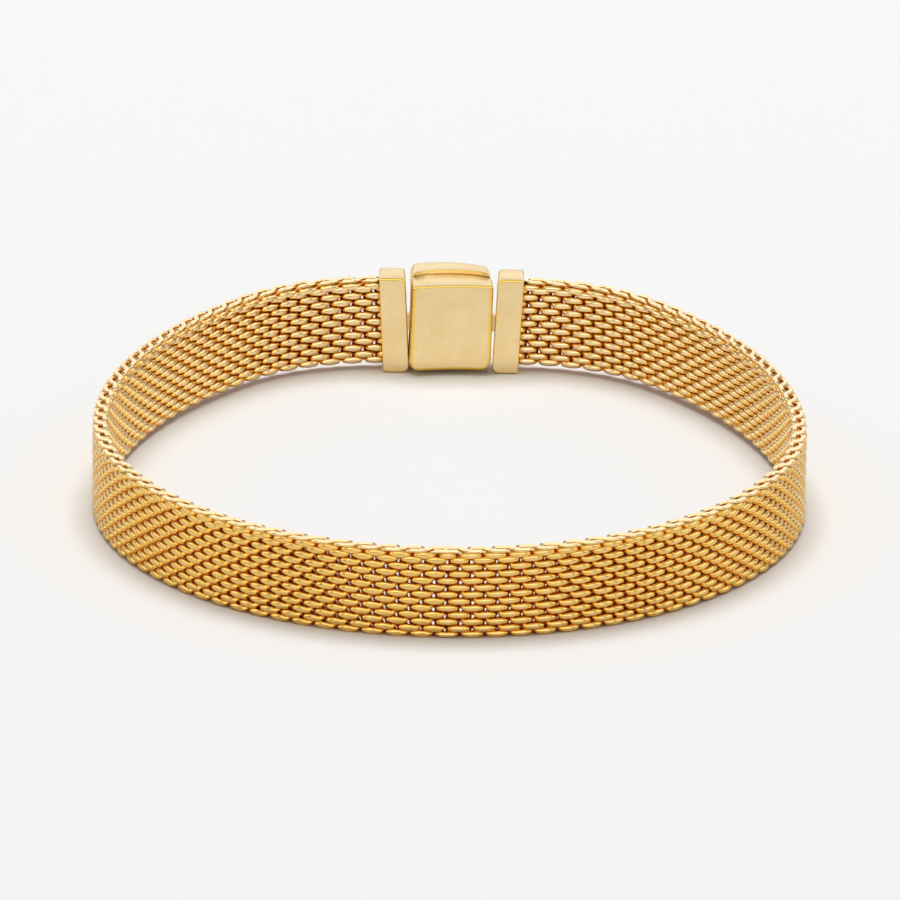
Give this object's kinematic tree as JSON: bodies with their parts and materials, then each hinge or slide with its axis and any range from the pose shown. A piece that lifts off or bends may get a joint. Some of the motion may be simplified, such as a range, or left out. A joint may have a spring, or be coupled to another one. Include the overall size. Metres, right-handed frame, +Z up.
{
  "type": "mesh bracelet",
  "caption": "Flat woven wire mesh bracelet lying closed on its side, with plain end caps and a small clasp whose hinged lid opens outwards.",
  "frame": {"origin": "on the surface that the bracelet lies on, under the middle of its bounding box", "axes": "+Z up, across the height of the band; +Y from the front of the loop to the clasp; +X to the right of someone who looks along +Y"},
  "size_m": [0.0572, 0.0678, 0.0082],
  "materials": {
    "gold_mesh": "polished drawn wire, gold plated",
    "gold_satin": "fine satin, gold plated",
    "gold_pin": "drawn pin, gold plated"
  },
  "bodies": {
    "root": {"mesh_band": "gold_mesh", "end_cap_left": "gold_satin", "end_cap_right": "gold_satin", "clasp_body": "gold_satin", "hinge_pin": "gold_pin"},
    "lid": {"clasp_lid": "gold_satin"}
  },
  "joints": [
    {"name": "lid_hinge", "type": "hinge", "parent": "root", "child": "lid", "pos_m": [-0.00232, 0.0325, 0.0041], "axis": [0, 0, 1], "range_deg": [0, 100]}
  ]
}
